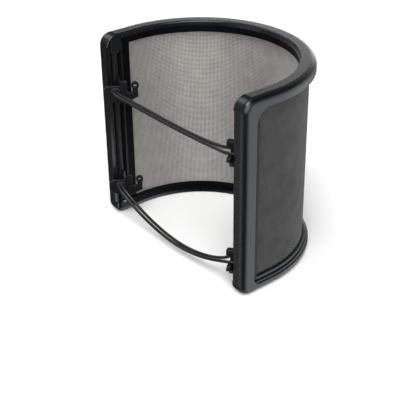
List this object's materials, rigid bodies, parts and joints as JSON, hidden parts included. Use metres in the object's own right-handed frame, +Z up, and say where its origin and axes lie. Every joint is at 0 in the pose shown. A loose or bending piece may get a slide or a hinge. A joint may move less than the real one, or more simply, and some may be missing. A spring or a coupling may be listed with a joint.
{
  "type": "microphone pop filter",
  "caption": "U-shaped three-layer pop filter that straps round a microphone head with elastic bands on sliding clips.",
  "frame": {"origin": "middle of the whole footprint, on the plane that the frame rests on", "axes": "+Z up along the posts and rails, -Y out of the open side towards the bands and the clip fronts, +X across from the left post to the right post as seen from the open side"},
  "size_m": [0.105, 0.0742, 0.095],
  "materials": {
    "frame_plastic": "satin moulded ABS",
    "inner_plastic": "fine matt",
    "outer_mesh": "dark coated fine mesh",
    "foam": "open-cell foam",
    "inner_mesh": "bare woven wire",
    "rail_steel": "black satin rod",
    "bright_steel": "plated",
    "clip_plastic": "satin moulded nylon",
    "elastic": "braided cover over rubber",
    "crimp_metal": "black crimped sleeve"
  },
  "bodies": {
    "frame": {"outer_frame": "frame_plastic", "inner_frame": "inner_plastic", "outer_screen": "outer_mesh", "filter_foam": "foam", "inner_screen": "inner_mesh", "left_rail_bracket": "inner_plastic", "right_rail_bracket": "inner_plastic", "left_rail": "rail_steel", "right_rail": "rail_steel", "left_rail_washers": "bright_steel", "right_rail_washers": "bright_steel", "left_rail_screw": "bright_steel", "right_rail_screw": "bright_steel"},
    "upper_left_slider": {"upper_left_clip": "clip_plastic", "upper_band": "elastic", "upper_band_crimp": "crimp_metal"},
    "upper_right_slider": {"upper_right_clip": "clip_plastic"},
    "lower_left_slider": {"lower_left_clip": "clip_plastic", "lower_band": "elastic", "lower_band_crimp": "crimp_metal"},
    "lower_right_slider": {"lower_right_clip": "clip_plastic"}
  },
  "joints": [
    {"name": "upper_left_clip_slide", "type": "slide", "parent": "frame", "child": "upper_left_slider", "axis": [0, 0, 1], "range_m": [-0.02, 0.012]},
    {"name": "upper_right_clip_slide", "type": "slide", "parent": "frame", "child": "upper_right_slider", "axis": [0, 0, 1], "range_m": [-0.02, 0.012]},
    {"name": "lower_left_clip_slide", "type": "slide", "parent": "frame", "child": "lower_left_slider", "axis": [0, 0, 1], "range_m": [-0.001, 0.016]},
    {"name": "lower_right_clip_slide", "type": "slide", "parent": "frame", "child": "lower_right_slider", "axis": [0, 0, 1], "range_m": [-0.001, 0.016]}
  ],
  "couplings": [
    {"joint": "upper_right_clip_slide", "follows": "upper_left_clip_slide", "ratio": 1},
    {"joint": "lower_right_clip_slide", "follows": "lower_left_clip_slide", "ratio": 1}
  ]
}
